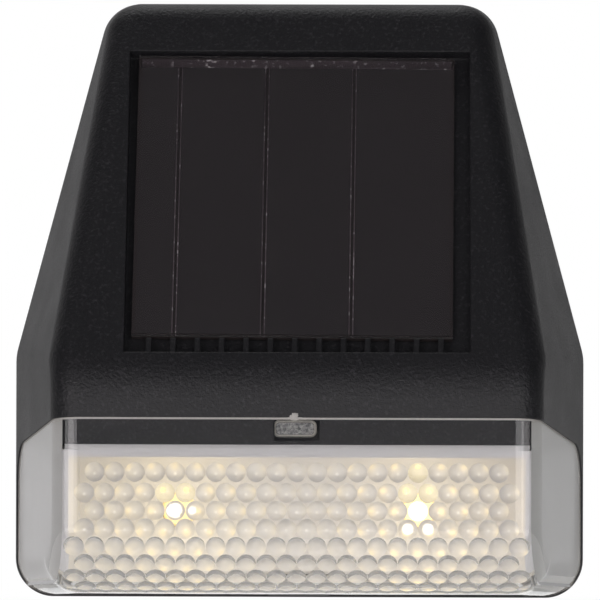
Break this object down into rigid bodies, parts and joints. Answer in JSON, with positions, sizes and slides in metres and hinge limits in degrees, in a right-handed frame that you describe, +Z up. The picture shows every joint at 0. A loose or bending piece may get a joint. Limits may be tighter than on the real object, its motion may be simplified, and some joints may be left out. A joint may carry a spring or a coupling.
{
  "type": "solar fence light",
  "caption": "Wall or fence light with a sloped solar panel above a clear domed lens, a white reflector and warm lamps, hung by a keyhole in its flat back.",
  "frame": {"origin": "centre of the keyhole's round entry hole, on the flat back that lies against the fence", "axes": "+Z up, +Y out of the back into the fence, +X to the right of someone who looks at the lit front"},
  "size_m": [0.095, 0.0521, 0.0992],
  "materials": {
    "black_abs": "spark-textured black moulding",
    "clear_lens": "clear polished plastic",
    "white_tray": "white moulding, satin",
    "seal_rubber": "soft black rubber",
    "screw_steel": "zinc-plated steel",
    "panel_board": "black laminate",
    "panel_foam": "grey foam tape",
    "solar_cell": "dark thin-film cell",
    "busbar": "thin tinned ribbon",
    "panel_sheet": "clear cover sheet, glossy",
    "green_board": "solder mask",
    "lamp_epoxy": "warm white lamp, domed epoxy",
    "tinned_lead": "tinned wire",
    "chip_black": "moulded chip",
    "ferrite": "sintered ferrite",
    "copper": "enamelled copper",
    "battery_can": "printed sleeve, plain green",
    "spring_steel": "nickel-plated steel",
    "switch_can": "tinned steel",
    "slider_black": "moulded slider",
    "wire_red": "red PVC insulation",
    "wire_black": "black PVC insulation"
  },
  "bodies": {
    "light": {"housing": "black_abs", "rear_cover": "black_abs", "lens_cover": "clear_lens", "reflector_tray": "white_tray", "cover_seal": "seal_rubber", "cover_screws": "screw_steel", "panel_adhesive": "panel_foam", "solar_substrate": "panel_board", "solar_cells": "solar_cell", "solar_busbars": "busbar", "solar_cover_sheet": "panel_sheet", "battery_contact": "spring_steel", "battery_spring": "spring_steel", "circuit_board": "green_board", "led_left": "lamp_epoxy", "led_right": "lamp_epoxy", "led_leads": "tinned_lead", "board_screws": "screw_steel", "driver_chip": "chip_black", "choke_core": "ferrite", "choke_winding": "copper", "switch_body": "switch_can", "switch_pins": "tinned_lead", "panel_wire_red": "wire_red", "panel_wire_black": "wire_black", "battery_wire_black": "wire_black", "battery_wire_red": "wire_red", "switch_wire_red": "wire_red", "switch_wire_black": "wire_black"},
    "switch": {"switch_slider": "slider_black"},
    "door": {"battery_door": "black_abs", "battery_door_screw": "screw_steel"},
    "battery": {"battery_cell": "battery_can"}
  },
  "joints": [
    {"name": "switch_slide", "type": "slide", "parent": "light", "child": "switch", "axis": [-1, 0, 0], "range_m": [0, 0.002]},
    {"name": "door_lift", "type": "slide", "parent": "light", "child": "door", "axis": [0, 1, 0], "range_m": [0, 0.03]},
    {"name": "battery_lift", "type": "slide", "parent": "light", "child": "battery", "axis": [0, 1, 0], "range_m": [0, 0.018]}
  ],
  "couplings": [
    {"joint": "battery_lift", "follows": "door_lift", "ratio": 0.6}
  ]
}
